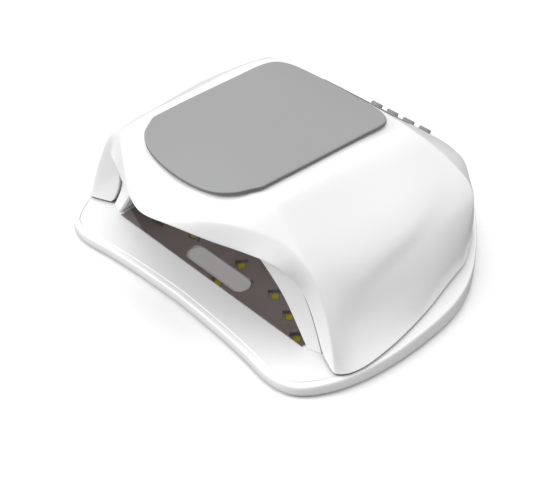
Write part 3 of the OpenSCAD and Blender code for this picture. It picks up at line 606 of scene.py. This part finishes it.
# A soft shoulder runs up each side, from low at the front to the rear corner
shoulder, wide, narrow, shoulder_x = 1.8, 14, 4, 60
shoulder_from, shoulder_to = np.array([ridge_y + 14, 44]), np.array([ridge_y + 100, 70])
run = shoulder_to - shoulder_from
length = np.linalg.norm(run)
apart = skin[:, :, 1:] - shoulder_from
on_run = np.clip(apart @ run / length ** 2, 0, 1)
below = apart @ np.array([-run[1], run[0]]) / length
width = np.where(below > 0, wide, narrow)
rise = shoulder * np.exp(-(below / width) ** 2) * np.sin(math.pi * on_run) ** 0.7
skin += out * (rise * (abs(skin[:, :, 0]) > shoulder_x))[:, :, None]
inside = skin - wall * out
inside[:, [0, -1]] = on_rim(inside[:, [0, -1]])
inside = np.concatenate([inside[inside_from::inside_every], inside[-1:]])


def with_feet(rows, feet):
    """The rows with the points at their two ends taken over by those of the feet."""
    first, last = (np.stack(foot, 1) for foot in feet)
    return np.concatenate([first[:, ::-1], rows[:, 1:-1], last], axis=1)


# At its feet the skin stops short of the rim and steps in, which leaves a shadow line over the base
# The faces of that step are painted dark grey as well: a painted shadow in the seam
shadow_h, shadow_in = 1.3, 0.5
flat_out = out * [1, 1, 0]
flat_out /= np.maximum(np.linalg.norm(flat_out, axis=2), 1e-9)[:, :, None]
outer_feet, inner_feet = [], []
for end in (0, -1):
    edge, inner_edge = skin[:, end], inside[:, end]
    stepped_in = edge - shadow_in * flat_out[:, end]
    outer_feet.append([edge + [0, 0, shadow_h], stepped_in + [0, 0, shadow_h], on_rim(stepped_in)])
    inner_feet.append([inner_edge, inner_edge + [0, 0, 0.02], on_rim(inner_edge)])
stepped = with_feet(skin, outer_feet)
body = np.concatenate([stepped[::-1], with_feet(inside, inner_feet)])
housing = loft("lamp_housing", np.swapaxes(body, 0, 1))

slope_matrix = (Matrix.Translation(Vector(at(0, top_l, top_h - edge_drop)) * mm)
                @ Matrix.Rotation(-slope_a, 4, "X"))


def pick(piece, mode, test):
    """Goes into edit mode with only those faces or edges selected that pass the test."""
    only(piece)
    bpy.context.tool_settings.mesh_select_mode = (False, mode == "EDGE", mode == "FACE")
    data = piece.data
    for group in (data.vertices, data.edges, data.polygons):
        group.foreach_set("select", np.zeros(len(group), bool))
    for part in data.edges if mode == "EDGE" else data.polygons:
        part.select = test(part)
    bpy.ops.object.mode_set(mode="EDIT")


def rounded_box(name, size, low, radius, matrix, segments=6):
    """A box with round upright edges, its underside at low, put in place by a matrix."""
    bpy.ops.object.select_all(action="DESELECT")
    bpy.ops.mesh.primitive_cube_add(size=1)
    piece = bpy.context.object
    piece.name = name
    piece.data.transform(Matrix.Diagonal((size[0] * mm, size[1] * mm, size[2] * mm, 1)))
    heights = [vertex.co.z for vertex in piece.data.vertices]
    pick(piece, "EDGE", lambda edge: heights[edge.vertices[0]] != heights[edge.vertices[1]])
    bpy.ops.mesh.bevel(offset=radius * mm, segments=segments, affect="EDGES")
    bpy.ops.object.mode_set(mode="OBJECT")
    piece.data.transform(matrix @ Matrix.Translation((0, 0, (low + size[2] / 2) * mm)))
    return piece


def slope_at(x, down):
    """A place on the rear slope, so far down from the edge of the top."""
    return slope_matrix @ Matrix.Translation((x * mm, down * mm, 0))


window_l, window_w, window_t, window_v = 54, 20, 1.6, 25
button_pitch, button_l, button_w, button_rise, button_v = 12.6, 8, 4.6, 2, 60.5
button_shift, button_count = 2.6, 4
window_proud, window_lip, play, jack_d = 0.3, 3.7, 0.6, 8.4
button_x = [button_shift + (i - (button_count - 1) / 2) * button_pitch for i in range(button_count)]
jack_h = seam(rear_g) + 9.5
cut(housing, [rounded_box("window_seat", (window_l + 0.5, window_w + 0.5, 9), window_proud - window_t, 1.8,
                          slope_at(0, window_v))])
cut(housing, [rounded_box("display_hole", (window_l - 2 * window_lip, window_w - 5.4, 12), -9, 1,
                          slope_at(0, window_v))])
key_hole = (button_l + play, button_w + play, 14)
cut(housing, [rounded_box("key_hole", key_hole, -9, key_hole[1] / 2 - 0.02, slope_at(x, button_v), 12)
              for x in button_x])
cut(housing, [rod("jack_hole", at(0, rear_g + 5, jack_h), jack_d, 12,
                  turn=Matrix.Rotation(math.pi / 2, 4, "X"))])
smooth(housing, 24)


def shade_between(piece, points):
    """Gives the second material, the painted shade, to the faces with all their corners at these places."""
    points = points.reshape(-1, 3) * mm
    tree = KDTree(len(points))
    for number, place in enumerate(points):
        tree.insert(place, number)
    tree.balance()
    near = [tree.find(vertex.co)[2] < 0.01 * mm for vertex in piece.data.vertices]
    for face in piece.data.polygons:
        face.material_index = int(all(near[index] for index in face.vertices))


shell_white = moulded("housing_white_plastic", (0.88, 0.88, 0.885), 0.3, 800, 0,
                      coat_weight=0.2, coat_roughness=0.12)
# Painted shade: a dark grey for the faces deep in the seams, where only shade falls
seam_painted_shade = moulded("seam_painted_shade_grey", (0.14, 0.14, 0.14), 0.8, 900, 0, specular_ior_level=0.1)
dress(housing, shell_white, seam_painted_shade)
# The faces of the step at the feet get the painted shade
shade_between(housing, np.concatenate([stepped[:, :3], stepped[:, -3:]], axis=1))
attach(housing, "lamp")
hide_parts("upper_shell")

# The inner frame: the white moulding inside the housing. Its collar is the rim of the hand opening and
# turns back into the tunnel, and behind it a trough holds the light boards. Six screws hold it up in the
# housing. The collar is lofted along the rim, and the trough is what the CAD frame has behind the sleeve.
frame_t, sleeve_g, ceiling_half = 2, 9, 44
collar_play, collar_back, shade_strip = 0.9, 1.6, 1.05
lean = math.atan((tunnel_half - ceiling_half) / (ceiling_h - seam_h - 1))


def wall_x(z):
    """The half width of the tunnel at a height."""
    return tunnel_half - (z - seam_h - 1) * math.tan(lean)


mouth_net = [at(0, -7, h), at(13, -7, h), at(ceiling_half - 17, -6.5, h), at(ceiling_half - 7, -6, h),
             at(ceiling_half + 1.5, -5, h)]
mouth_net += [at(wall_x(z), g, z)
              for z, g in ((h - 11.5, -1.5), (h - 24, 1), (h - 36, 1.4), (seam(1.5), 1.5))]
edge = spline(opening_row, column_steps)
mouth = spline(both_sides(mouth_net), column_steps)
run = np.gradient(mouth[:, [0, 2]], axis=0)
run /= np.linalg.norm(run, axis=1)[:, None]
aside = np.column_stack([run[:, 1], -run[:, 0]])
outer = mouth[:, [0, 2]] + frame_t * np.sign(aside[len(aside) // 2, 1]) * aside
back = np.full(len(mouth), ridge_y + sleeve_g)
inward = mouth - edge
lip = edge + collar_play * inward / np.linalg.norm(inward, axis=1)[:, None] + [0, collar_back, 0]
inward = mouth - lip
sleeve = np.column_stack([mouth[:, 0], back, mouth[:, 2]])
sleeve_out = np.column_stack([outer[:, 0], back, outer[:, 1]])
neck_out = np.column_stack([outer[:, 0], mouth[:, 1] + 1.5, outer[:, 1]])
lip_under = lip + [0, frame_t + 0.4, 0]
profile = [lip_under, *softened(lip_under, lip, mouth, 0.3)]
profile += [lip + shade_strip * inward / np.linalg.norm(inward, axis=1)[:, None]]
profile += [lip + share * inward for share in (0.17, 0.3, 0.5, 0.7, 0.85)]
profile += [*softened(lip, mouth, sleeve, 1.5), sleeve, sleeve_out, neck_out]
profile = np.array(profile)
profile[:, [0, -1]] = on_rim(profile[:, [0, -1]])
collar = loft("opening_collar", np.swapaxes(profile, 0, 1))
smooth(collar, 35)
frame_white = moulded("frame_white_plastic", (0.86, 0.86, 0.862), 0.34, 900, 0.00002,
                      coat_weight=0.2, coat_roughness=0.15)
dress(collar, frame_white, seam_painted_shade)
# The strip of the collar next to the housing is painted dark grey: painted shade for the shade of the seam
shade_between(collar, profile[:4])
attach(collar, "lamp")


def copy_of(node, name):
    """A merged copy of a CAD node, shaded smooth where it is round, which stands for the node."""
    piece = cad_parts[node].copy()
    piece.data = piece.data.copy()
    piece.name = name
    piece.parent = None
    scene.collection.objects.link(piece)
    for key in list(piece.keys()):
        del piece[key]
    only(piece)
    bpy.ops.object.mode_set(mode="EDIT")
    bpy.ops.mesh.select_all(action="SELECT")
    bpy.ops.mesh.remove_doubles(threshold=2e-6)
    bpy.ops.mesh.normals_make_consistent(inside=False)
    bpy.ops.object.mode_set(mode="OBJECT")
    bpy.ops.mesh.customdata_custom_splitnormals_clear()
    smooth(piece, 30)
    return piece


trough = copy_of("inner_frame", "light_trough")
bpy.ops.object.mode_set(mode="EDIT")
bpy.ops.mesh.select_all(action="SELECT")
bpy.ops.mesh.bisect(plane_co=(0, (ridge_y + sleeve_g - 0.05) * mm, 0), plane_no=(0, 1, 0), use_fill=True,
                    clear_inner=True, clear_outer=False, threshold=1e-6)
bpy.ops.object.mode_set(mode="OBJECT")
smooth(trough)
dress(trough, frame_white)
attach(trough, "lamp")
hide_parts("inner_frame")

# The reflector: a thin liner of the tunnel, of sheet with a brushed bright face, punched with a window for
# each light bead. It lies against the light boards and is held by the trough.
liner = copy_of("reflector", "tunnel_liner")
liner_silver, place, surface = new_finish("liner_silver", 0.35, metallic=0.35)
brush = noise(place, 130, 3)
blend_colours(brush, (0.52, 0.485, 0.48, 1), (0.58, 0.545, 0.54, 1)).to(surface.inputs["Base Color"])
(brush * 0.16 + 0.26).to(surface.inputs["Roughness"])
dress(liner, liner_silver)
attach(liner, "lamp")
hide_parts("reflector")

# The hand rest: a thin firm pad of grey silicone with rounded edges. It follows the hollow of the top, is
# glued down in it, and its edge all round is painted darker: a painted shade.
pad_w, pad_rear, pad_t, pad_gap = 88, 100, 3, 0.5
pw = pad_w / 2
pad_net = [(0, -pad_front), (0.5 * pw, -pad_front), (pw - 8, -pad_front / 2), (pw - 4, 1), (pw - 1.5, 5),
           (pw - 1.5, 8), (pw - 0.5, 30), (pw, pad_rear - 30), (pw + 0.5, pad_rear - 9),
           (pw - 7, pad_rear - 2.5), (0.55 * pw, pad_rear - 0.5), (0, pad_rear)]
pad_loop = closed_loop(spline(pad_net, 9))
pad_centre = np.array([0, (pad_rear - pad_front) / 2 + 2])
# The section of its edge: how far it is drawn in, and its height over the top
pad_section = [(2.4, pad_t), (0.9, pad_t), (0.1, pad_t - 0.35), (0, pad_t - 1.4), (0.15, pad_gap + 0.5),
               (0.5, pad_gap), (1.2, pad_gap)]


def pad_ring(drawn_in, share, height):
    """A ring of the pad, drawn in and shrunk by a share to its centre, at a height over the top."""
    flat = (1 - share) * inset(pad_loop, drawn_in) + share * pad_centre
    return np.column_stack([flat[:, 0], flat[:, 1] + ridge_y, top_z(flat[:, 0], flat[:, 1]) + height])


shares = (0.97, 0.85, 0.7, 0.55, 0.4, 0.28, 0.18, 0.1, 0.04)
pad_rings = [pad_ring(2.4, share, pad_t) for share in shares]
for drawn_in, height in spline(pad_section, 5):
    pad_rings.append(pad_ring(drawn_in, 0, height))
pad_rings += [pad_ring(1.2, share, pad_gap) for share in (0.1, 0.3, 0.6, 0.9)]
hand_rest = loft("hand_rest", pad_rings)
smooth(hand_rest, 40)
pad_grey = moulded("pad_grey_silicone", (0.31, 0.31, 0.312), 0.6, 2600, 0.00008, specular_ior_level=0.3)
pad_edge_painted_shade = moulded("pad_edge_silicone_painted_shade", (0.17, 0.17, 0.172), 0.7, 2600, 0.00004, specular_ior_level=0.2)
dress(hand_rest, pad_grey, pad_edge_painted_shade)
# The steep faces of the edge get the darker grey: painted shade on the sides of the pad
pick(hand_rest, "FACE", lambda face: face.normal.z < 0.45)
hand_rest.active_material_index = 1
bpy.ops.object.material_slot_assign()
bpy.ops.object.mode_set(mode="OBJECT")
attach(hand_rest, "lamp")
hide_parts("hand_rest_pad")

# The display window: a thin plate of smoked acrylic with rounded edges. It is let into a seat in the rear
# slope, over the display, and glued in.
window = rounded_box("display_window_plate", (window_l, window_w, window_t), window_proud - window_t, 1.6,
                     slope_at(0, window_v), 8)
round_edges(window, 0.3, 3)
smooth(window)
window_smoke, place, surface = new_finish("window_smoke", 0.06, coat_weight=1.0, coat_roughness=0.03)
smoke = blend_colours(noise(place, 40), (0.018, 0.018, 0.022, 1), (0.024, 0.024, 0.028, 1))
smoke.to(surface.inputs["Base Color"])
(noise(place, 90, 4) * 0.05 + 0.04).to(surface.inputs["Roughness"])
dress(window, window_smoke)
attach(window, "lamp")
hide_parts("display_window")

# The four timer keys: rounded bars moulded in grey plastic. Each looks out of its hole in the rear slope,
# has a collar under the housing that keeps it in, and a stem down to its switch.
display_h, switch_h, plunger_h, travel = 6.5, 2.6, 0.9, 0.8
board_n = -wall - 0.1 - display_h
stem_end = board_n + switch_h + plunger_h + travel + 0.1
button_grey = moulded("key_grey_plastic", (0.25, 0.25, 0.255), 0.38, 1400, 0.00003, coat_weight=0.1)
for i, x in enumerate(button_x):
    where = slope_at(x, button_v)
    cap = prism("key", pill(button_l, button_w), -wall - 0.6, button_rise, where)
    round_edges(cap, 0.8, 5)
    collar_ring = prism("collar", pill(button_l + 2, button_w + 2), -wall - 1.3, -wall - 0.3, where)
    stem = rod("stem", (0, 0, 0), 3.4, -wall - 0.8 - stem_end, 32)
    stem.data.transform(where @ Matrix.Translation((0, 0, stem_end * mm)))
    key = join([cap, collar_ring, stem])
    key.name = f"timer_key_{i + 1}"
    smooth(key, 40)
    dress(key, button_grey)
    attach(key, f"timer_button_{i + 1}")
    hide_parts(f"timer_button_{i + 1}")

# The light beads: square packages with a sunk pad of yellow phosphor in each, soldered to their boards.
# They stand cornerwise behind the windows of the tunnel liner.
bead, bead_h, reflector_t = 5, 1.4, 1.2
bead_rim, bead_slope, bead_sink = 0.3, 0.2, 0.3
phosphor, place, surface = new_finish("bead_phosphor", 0.45, coat_weight=0.6, coat_roughness=0.1)
yellow = blend_colours(noise(place, 600, 3), (0.66, 0.62, 0.02, 1), (0.86, 0.80, 0.03, 1))
yellow.to(surface.inputs["Base Color"])
# The packages are dark grey-brown in place of their own white: painted shade from the liner windows round
# them
package_painted_shade = moulded("bead_package_painted_shade", (0.34, 0.33, 0.29), 0.4, 1500, 0.00001)


def bead_at(matrix):
    """One bead; its light comes out along the matrix's own +Z, from a height of bead_h."""
    bpy.ops.object.select_all(action="DESELECT")
    bpy.ops.mesh.primitive_cube_add(size=1)
    piece = bpy.context.object
    piece.name = "bead"
    piece.data.transform(Matrix.Diagonal((bead * mm, bead * mm, bead_h * mm, 1)))
    piece.data.transform(Matrix.Translation((0, 0, bead_h / 2 * mm)))
    piece.data.materials.append(package_painted_shade)
    piece.data.materials.append(phosphor)
    pick(piece, "FACE", lambda face: face.normal.z > 0.5)
    bpy.ops.mesh.inset(thickness=bead_rim * mm, depth=0)
    bpy.ops.mesh.inset(thickness=bead_slope * mm, depth=-bead_sink * mm)
    piece.active_material_index = 1
    bpy.ops.object.material_slot_assign()
    bpy.ops.object.mode_set(mode="OBJECT")
    piece.data.transform(matrix)
    return piece


def shift(x, y, z):
    return Matrix.Translation((x * mm, y * mm, z * mm))


bead_n = reflector_t + 0.1
ceiling_spots = [(0, 48), (18.5, 42), (20.5, 62), (34, 33), (34, 52), (0, 78), (20, 84), (34, 72)]
wall_spots = [(14, 22), (34, 38), (14, 50), (34, 64), (14, 80)]
rear_spots = [(12, 46), (33, 30)]
tunnel_d = 100
cornerwise = Matrix.Rotation(math.pi / 4, 4, "Z")
half_turn = Matrix.Rotation(math.pi, 4, "Z")
face_down = Matrix.Rotation(math.pi, 4, "X")
face_front = Matrix.Rotation(math.pi / 2, 4, "X")
face_left = Matrix.Rotation(-math.pi / 2, 4, "Y")
wall_foot = shift(tunnel_half, 0, seam_h + 1) @ Matrix.Rotation(-lean, 4, "Y")
bead_sets = {"ceiling_beads": [], "right_beads": [], "left_beads": [], "rear_beads": []}
for x, g in ceiling_spots:
    for side in ((1,) if x == 0 else (-1, 1)):
        lift = shift(side * x, ridge_y + g, ceiling_h + bead_n + bead_h)
        bead_sets["ceiling_beads"].append(lift @ cornerwise @ face_down)
for u, g in wall_spots:
    right = wall_foot @ shift(bead_n + bead_h, ridge_y + g, u) @ face_left @ cornerwise
    left = half_turn @ wall_foot @ shift(bead_n + bead_h, -ridge_y - g, u) @ face_left @ cornerwise
    bead_sets["right_beads"].append(right)
    bead_sets["left_beads"].append(left)
for x, z in rear_spots:
    for side in (-1, 1):
        behind = shift(side * x, ridge_y + tunnel_d + 0.1 + bead_h, z)
        bead_sets["rear_beads"].append(behind @ face_front)
for node, places in bead_sets.items():
    beads = join([bead_at(place) for place in places])
    beads.name = node + "_made"
    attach(beads, "lamp")
    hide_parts(node)

# The small parts: rubber feet pressed into their wells, steel screws, nickel-plated magnets in pairs in the
# base and in the lamp body, and the supply jack and the hand sensor, which are moulded in black plastic.
foot_rubber = moulded("foot_black_rubber", (0.045, 0.045, 0.047), 0.7, 1500, 0.00005)
jack_black = moulded("jack_black_plastic", (0.03, 0.03, 0.032), 0.45, 1500, 0.00002)
sensor_dark = moulded("sensor_dark_plastic", (0.03, 0.028, 0.035), 0.2, 1500, 0.00001, coat_weight=0.5)
screw_steel, place, surface = new_finish("screw_steel", 0.3, metallic=1.0)
steel = blend_colours(noise(place, 500, 3), (0.52, 0.52, 0.53, 1), (0.66, 0.66, 0.67, 1))
steel.to(surface.inputs["Base Color"])
(noise(place, 900, 2) * 0.2 + 0.2).to(surface.inputs["Roughness"])
magnet_nickel, place, surface = new_finish("magnet_nickel", 0.2, metallic=1.0)
nickel = blend_colours(noise(place, 300, 3), (0.60, 0.59, 0.57, 1), (0.70, 0.69, 0.67, 1))
nickel.to(surface.inputs["Base Color"])
(noise(place, 600, 2) * 0.15 + 0.12).to(surface.inputs["Roughness"])
small_parts = {"rubber_feet": ("base", foot_rubber, "foot_rubber"),
               "base_screws": ("base", screw_steel, "screw_steel"),
               "base_magnets": ("base", magnet_nickel, "magnet_nickel"),
               "frame_screws": ("lamp", screw_steel, "screw_steel"),
               "board_screws": ("lamp", screw_steel, "screw_steel"),
               "lamp_magnets": ("lamp", magnet_nickel, "magnet_nickel"),
               "dc_jack": ("lamp", jack_black, "jack_black"),
               "hand_sensor": ("lamp", sensor_dark, "sensor_dark")}
for node, (body, finish, slot) in small_parts.items():
    piece = copy_of(node, node + "_smooth")
    dress(piece, finish)
    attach(piece, body)
    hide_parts(node)

# The boards inside: green glass-fibre boards with copper tracks under the lacquer for the controls and the
# driver, white boards for the lights, and the black parts that are soldered to them.
board_green, place, surface = new_finish("board_green_lacquer", 0.35, coat_weight=0.4, coat_roughness=0.15)
lanes = place.node("TexBrick", {"offset": 0.5, "squash": 1.0},
                   {"Vector": place, "Scale": 150, "Mortar Size": 0.03, "Mortar Smooth": 0.1}, 1)
pads = noise(place, 320, 1).over(0.66)
ground = blend_colours(noise(place, 60), (0.010, 0.085, 0.035, 1), (0.014, 0.11, 0.045, 1))
tracks = blend_colours(lanes, ground, (0.03, 0.19, 0.075, 1))
blend_colours(pads, tracks, (0.45, 0.44, 0.40, 1)).to(surface.inputs["Base Color"])
board_white = moulded("board_white_lacquer", (0.74, 0.74, 0.72), 0.35, 400, 0.00001)
component_black = moulded("component_black", (0.035, 0.035, 0.037), 0.4, 1200, 0.00002)
switch_black = moulded("switch_black", (0.04, 0.04, 0.042), 0.35, 1200, 0.00002)
board_finishes = {"control_board": board_green, "driver_board": board_green,
                  "ceiling_light_board": board_white, "left_light_board": board_white,
                  "right_light_board": board_white, "rear_light_board": board_white,
                  "driver_parts": component_black, "display_module": component_black,
                  "tact_switches": switch_black}
for node, finish in board_finishes.items():
    dress(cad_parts[node], finish)
